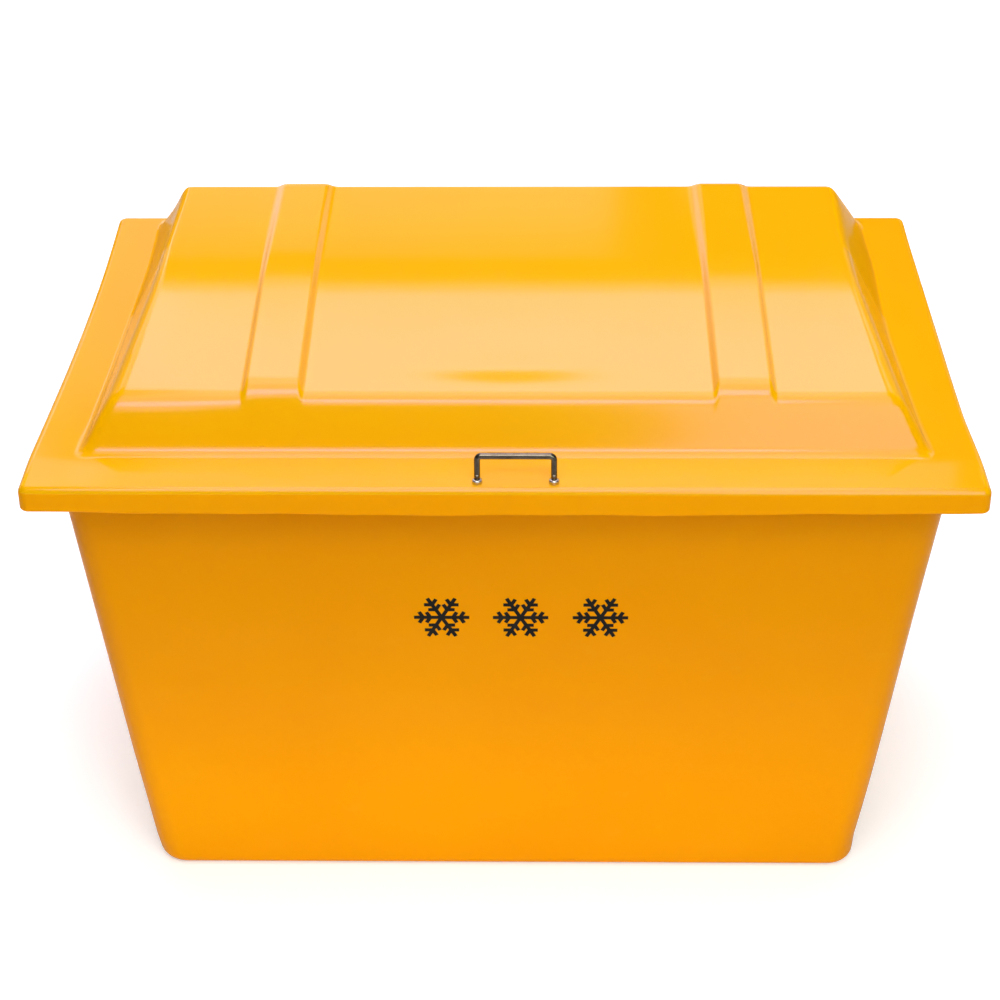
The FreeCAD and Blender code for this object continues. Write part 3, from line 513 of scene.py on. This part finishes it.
lid = shell("lid_moulding", lid_skin(0.0),
            [lid_ring(inset, level, hangs) for inset, level, hangs, _ in edge_rows],
            lid_skin(LID_WALL),
            [gelcoat("orange_lid_gelcoat", lid_colour, lid_deep, 1.45, 0.15),
             laminate("lid_mat", (0.80, 0.34, 0.05)),
             trimmed_edge("skirt_edge", (0.95, 0.48, 0.06)),
             # The skirt is the lid's own gelcoat, painted a deeper orange as painted shade for its upright
             # faces.
             gelcoat("orange_skirt_gelcoat_painted_shade", (0.98, 0.375, 0.0), (0.97, 0.36, 0.0), 1.11, 0.02),
             gelcoat("orange_end_gelcoat", lid_colour, lid_deep, 1.11, 0.03),
             gelcoat("orange_rear_end_gelcoat", lid_colour, lid_deep, 1.02, 0.0)],
            LID_TOP, [mark for *_, mark in edge_rows], LID_INSIDE)
for face in lid.data.polygons:
    if face.material_index == LID_TOP and abs(face.normal.x) > END_LEAN and abs(face.center.x) > END_FROM:
        face.material_index = LID_ENDS if face.center.y < END_REAR_FROM else LID_REAR_ENDS
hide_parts("lid")
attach(lid, "lid")


# The marks on the front: three plain snow signs of cut black vinyl film, pressed onto the front wall
# in a row above the middle.

SIGN_AT = ((-75.0, 411.0), (19.0, 411.0), (114.0, 411.0))
SIGN_REACH = 33.0
FILM, BEDDED = 0.25, 0.05


def snow_outline(reach, width, branches):
    """Outline of a six-armed snow crystal; each branch is its place along the arm and its length."""
    turn = math.radians(60)
    half = [(width / 2 / math.tan(math.radians(30)), width / 2)]
    for at, long in branches:
        for side, end in ((-1, 0), (-1, long), (1, long), (1, 0)):
            root = width * (0.2887 if side < 0 else 0.866)
            if end:
                half.append((at + side * math.sin(turn) * width / 2 + end * math.cos(turn),
                             -side * math.cos(turn) * width / 2 + end * math.sin(turn)))
            else:
                half.append((at + side * root, width / 2))
    half.append((reach, width / 2))
    arm = [(x, -y) for x, y in half] + [(x, y) for x, y in reversed(half)]
    return [(x * math.cos(turn * k) - y * math.sin(turn * k), x * math.sin(turn * k) + y * math.cos(turn * k))
            for k in range(6) for x, y in arm[1 if k else 0:]]


def vinyl():
    film = Finish("black_vinyl", IOR=1.2)
    grain = film.noise(800.0, 2.0)
    dust = film.noise(60.0, 4.0, 0.6)
    film.set(Base_Color=film.blend(dust.between(0.5, 0.8) * 0.4, (0.006, 0.006, 0.006), (0.03, 0.026, 0.02)),
             Roughness=0.34 + grain * 0.14, Normal=film.bump(grain, 0.0001, 0.15))
    return film.material


black_vinyl = vinyl()
for number, (at, level) in enumerate(SIGN_AT, 1):
    outline = snow_outline(SIGN_REACH, 4.6, ((13.5, 9.0), (22.0, 9.5)))
    wall_y = -(BASE_HALF[1] + level * TUB_LEAN[1])
    lean = math.atan(TUB_LEAN[1])
    points = [(at + u, wall_y - v * math.sin(lean) - lift * math.cos(lean),
               level + v * math.cos(lean) - lift * math.sin(lean))
              for lift in (FILM, -BEDDED) for u, v in outline]
    count = len(outline)
    caps = tessellate_polygon([[Vector((u, v, 0)) for u, v in outline]])
    faces = [tuple(cap) for cap in caps]
    faces += [tuple(reversed([count + corner for corner in cap])) for cap in caps]
    faces += [(i, (i + 1) % count, count + (i + 1) % count, count + i) for i in range(count)]
    sign = mesh_object(f"snow_sign_{number}", points, faces, [black_vinyl])
    sign.data.shade_flat()
    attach(sign, "tub")


# The pull: a chromed steel rod bent square into a staple, its two feet in small turned collars and
# screwed from under the flange.

PULL_AT, PULL_Y = 14.0, -357.0
PULL_SPAN, PULL_ROD, PULL_TOP = 87.0, 3.5, 653.0
PULL_BEND, PULL_LEAN = 4.8, 0.2


def chrome(name, bright, dull):
    plating = Finish(name, Metallic=1.0)
    haze = plating.noise(120.0, 4.0, 0.6)
    rub = plating.noise(900.0, 2.0, 0.5, plating.stretched(0.1, 1.0, 1.0))
    plating.set(Base_Color=plating.blend(haze.between(0.4, 0.7), bright, dull),
                Roughness=0.16 + haze * 0.08 + rub.between(0.6, 0.8) * 0.1,
                Normal=plating.bump(rub, 0.00003, 0.2))
    return plating.material


def turned(profile, centre, sides=32):
    """Points and quads of a turned piece about an upright line; the profile's ends lie on the axis."""
    angles = np.linspace(0, 2 * math.pi, sides, endpoint=False)
    points, faces = [(*centre, profile[0][1])], []
    for radius, z in profile[1:-1]:
        points += [(centre[0] + radius * math.cos(a), centre[1] + radius * math.sin(a), z) for a in angles]
    points.append((*centre, profile[-1][1]))
    rows = len(profile) - 2
    for i in range(sides):
        after = (i + 1) % sides
        faces.append((0, 1 + after, 1 + i))
        for row in range(rows - 1):
            low, high = 1 + row * sides, 1 + (row + 1) * sides
            faces.append((low + i, low + after, high + after, high + i))
        last = 1 + (rows - 1) * sides
        faces.append((last + i, last + after, len(points) - 1))
    return points, faces


def swept_rod(path, radius, sides=20):
    """A round rod along a line in an upright plane facing the front, both ends closed."""
    path = np.array(path)
    tangent = np.gradient(path, axis=0)
    tangent /= np.linalg.norm(tangent, axis=1)[:, None]
    normal = np.stack([-tangent[:, 2], np.zeros(len(path)), tangent[:, 0]], 1)
    angles = np.linspace(0, 2 * math.pi, sides, endpoint=False)
    rings = (path[:, None] + radius * (normal[:, None] * np.cos(angles)[None, :, None]
                                       + np.array([0, 1, 0]) * np.sin(angles)[None, :, None]))
    points = rings.reshape(-1, 3).tolist()
    faces = [(row * sides + i, row * sides + (i + 1) % sides, (row + 1) * sides + (i + 1) % sides,
              (row + 1) * sides + i) for row in range(len(path) - 1) for i in range(sides)]
    faces += [tuple(range(sides)), tuple(len(points) - 1 - i for i in range(sides))]
    return points, faces


left, right = PULL_AT - PULL_SPAN / 2, PULL_AT + PULL_SPAN / 2
bar = PULL_TOP - PULL_ROD
bends = [(left + PULL_BEND * (1 - math.cos(turn)), PULL_Y, bar - PULL_BEND * (1 - math.sin(turn)))
         for turn in np.radians(np.linspace(0, 90, 9))]
rod_line = [(left, PULL_Y, z) for z in (FLANGE_TOP - 0.6, FLANGE_TOP + 8, bar - PULL_BEND - 2)]
rod_line += bends + [(left + 20, PULL_Y, bar), (PULL_AT, PULL_Y, bar)]
rod_line += [(2 * PULL_AT - x, y, z) for x, y, z in reversed(rod_line[:-1])]
points, faces = swept_rod(rod_line, PULL_ROD)
points = [(x, y + PULL_LEAN * (z - FLANGE_TOP), z) for x, y, z in points]
rod_faces = len(faces)
collar = [(0, FLANGE_TOP - 2.8), (5.6, FLANGE_TOP - 2.8), (6.0, FLANGE_TOP - 2.4), (6.0, FLANGE_TOP + 1.6),
          (5.7, FLANGE_TOP + 2.3), (5.0, FLANGE_TOP + 2.8), (4.2, FLANGE_TOP + 3.0), (0, FLANGE_TOP + 3.0)]
for foot in (left, right):
    ring_points, ring_faces = turned(collar, (foot, PULL_Y))
    faces += [tuple(len(points) + corner for corner in face) for face in ring_faces]
    points += ring_points
# The rod's chrome is painted dark brown as painted shade, standing for the dark room it reflects; the collars
# keep a plain bright chrome.
pull = mesh_object("pull_rod", points, faces,
                   [chrome("chrome_painted_dark", (0.15, 0.125, 0.10), (0.10, 0.08, 0.06)),
                    chrome("bright_chrome", (0.62, 0.58, 0.54), (0.48, 0.44, 0.40))],
                   [0] * rod_faces + [1] * (len(faces) - rod_faces))
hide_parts("handle")
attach(pull, "lid")


# The hinges and fastenings: stainless strip cut and folded into brackets, leaves and backing plates,
# round pins with turned heads, and hexagon bolts with nuts, all left with their satin mill finish.


def stainless(name, colour, grain_x, grain_y, grain_z):
    steel = Finish(name, Metallic=1.0)
    brush = steel.noise(520.0, 3.0, 0.6, steel.stretched(grain_x, grain_y, grain_z))
    cloud = steel.noise(45.0, 3.0)
    tint = steel.blend(cloud.between(0.35, 0.7), colour, tuple(0.82 * part for part in colour))
    steel.set(Base_Color=steel.blend(brush.between(0.5, 0.75) * 0.3, tint, (0.46, 0.45, 0.43)),
              Roughness=0.26 + brush * 0.14 + cloud * 0.06, Normal=steel.bump(brush, 0.00005, 0.25))
    return steel.material


strip_steel = stainless("brushed_strip", (0.62, 0.62, 0.60), 0.08, 1.0, 1.0)
turned_steel = stainless("turned_stainless", (0.66, 0.66, 0.65), 1.0, 1.0, 1.0)
for node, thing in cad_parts.items():
    if node in ("tub", "lid", "handle"):
        continue
    for slot in thing.material_slots:
        slot.material = strip_steel if node.startswith(("hinge_bracket", "hinge_leaf", "bracket_plate",
                                                        "leaf_plate")) else turned_steel


# The studio: a pale floor in a plain grey room, a large softbox and a low strip behind the lid, two
# ceiling boxes, a fill in front, softboxes at both sides and white boards that the gloss picks up.

floor_paint = Finish("studio_floor", Roughness=0.9, Specular_IOR_Level=0.05)
mottle = floor_paint.noise(0.8, 2.0)
seen = floor_paint.node("ShaderNodeLightPath", {}, {}, "Is Camera Ray")
away = floor_paint.node("ShaderNodeVectorMath", {"operation": "LENGTH"}, {0: floor_paint.place()}, "Value")
glow = floor_paint.blend(away.between(1.3, 4.5), (0.40, 0.41, 0.42), (1.0, 1.0, 1.0))
floor_paint.set(Base_Color=floor_paint.blend(mottle, (0.90, 0.90, 0.90), (0.88, 0.88, 0.88)),
                Emission_Color=floor_paint.blend(seen, (0.0, 0.0, 0.0), glow), Emission_Strength=1.0)
floor = mesh_object("studio_floor", [(-9000, -9000, 0), (9000, -9000, 0), (9000, 9000, 0), (-9000, 9000, 0)],
                    [(0, 1, 2, 3)], [floor_paint.material])


class Room(Finish):
    """The room around the bin: a world whose nodes are added as a finish's are."""

    def __init__(self, name):
        self.world = bpy.data.worlds.new(name)
        self.world.use_nodes = True
        self.tree = self.world.node_tree
        self.shader = self.tree.nodes["Background"]


room = Room("studio_room")
ray = room.node("ShaderNodeTexCoord", {}, {}, "Generated")
height = room.node("ShaderNodeSeparateXYZ", {}, {0: ray}, "Z")
walls = room.node("ShaderNodeValToRGB", {"stops": ((0.22, (0.6, 0.6, 0.6)), (0.29, (0.025, 0.025, 0.025)))},
                  {0: height})
seen = room.node("ShaderNodeLightPath", {}, {}, "Is Camera Ray")
mirrored = room.node("ShaderNodeLightPath", {}, {}, "Is Glossy Ray")
room.set(Color=room.blend(seen, walls, (1.0, 1.0, 1.0)),
         Strength=room.node("ShaderNodeMapRange", {},
                            {"Value": seen.most(mirrored), "To Min": 0.7, "To Max": 1.0}))
bpy.context.scene.world = room.world


def soft_light(name, centre, aim, size, radiance, colour=(1.0, 1.0, 1.0)):
    """A rectangular softbox: centre and aim in metres, width by height, and how bright its face is."""
    lamp = bpy.data.lights.new(name, "AREA")
    lamp.shape = "RECTANGLE"
    lamp.size, lamp.size_y = size
    lamp.energy = radiance * math.pi * size[0] * size[1]
    lamp.color = colour
    made = bpy.data.objects.new(name, lamp)
    made.location = centre
    made.rotation_euler = (Vector(aim) - Vector(centre)).to_track_quat("-Z", "Y").to_euler()
    made.visible_camera = False
    bpy.context.scene.collection.objects.link(made)
    return made


soft_light("softbox_behind", (0.0, 2.311, 4.4075), (0.0, -0.36, 1.04), (2.8, 2.1), 3.9, (1.0, 0.80, 1.0))
soft_light("low_strip_behind", (0.0, 0.42, 1.14), (0.0, -0.34, 0.62), (1.36, 0.06), 0.85)
soft_light("ceiling_rear", (0.0, 0.15, 4.60), (0.0, 0.15, 0.0), (2.2, 2.1), 3.4)
soft_light("ceiling_front", (0.0, -2.3, 4.45), (0.0, -0.7, 0.6), (2.8, 3.0), 2.5)
soft_light("fill_high_front", (-0.3, -2.8, 4.15), (0.0, -0.2, 0.6), (2.4, 0.8), 5.8)
soft_light("side_softbox_left", (-2.75, 3.1, 3.3), (0.0, 0.0, 0.7), (3.0, 2.4), 1.2)
soft_light("side_softbox_right", (3.1, 2.9, 3.3), (0.0, 0.0, 0.7), (2.6, 2.4), 1.2)
soft_light("board_rear_left", (-1.02, 3.2, 1.40), (-1.02, -1.0, 1.40), (2.55, 2.16), 0.6)
soft_light("board_front_right", (1.95, -4.0, 3.4), (0.2, -0.2, 0.6), (3.0, 1.7), 3.8, (0.93, 1.14, 0.93))
low_front = soft_light("low_front", (-0.05, -0.62, 0.07), (-0.05, -0.3, 0.05), (1.5, 0.10), 2.3)
low_front.visible_glossy = False

camera_stand = (0.03772, -2.57484, 1.93101)
camera_turn, camera_dip, camera_roll = 0.0187, 0.542, -0.008
camera = bpy.data.cameras.new("product_camera")
camera.lens, camera.sensor_width = 82.1, 36.0
camera_object = bpy.data.objects.new("product_camera", camera)
camera_object.matrix_world = (Matrix.Translation(camera_stand) @ Matrix.Rotation(camera_turn, 4, "Z")
                              @ Matrix.Rotation(math.pi / 2 - camera_dip, 4, "X")
                              @ Matrix.Rotation(camera_roll, 4, "Z"))
bpy.context.scene.collection.objects.link(camera_object)
bpy.context.scene.camera = camera_object
bpy.context.scene.view_settings.view_transform = "Standard"
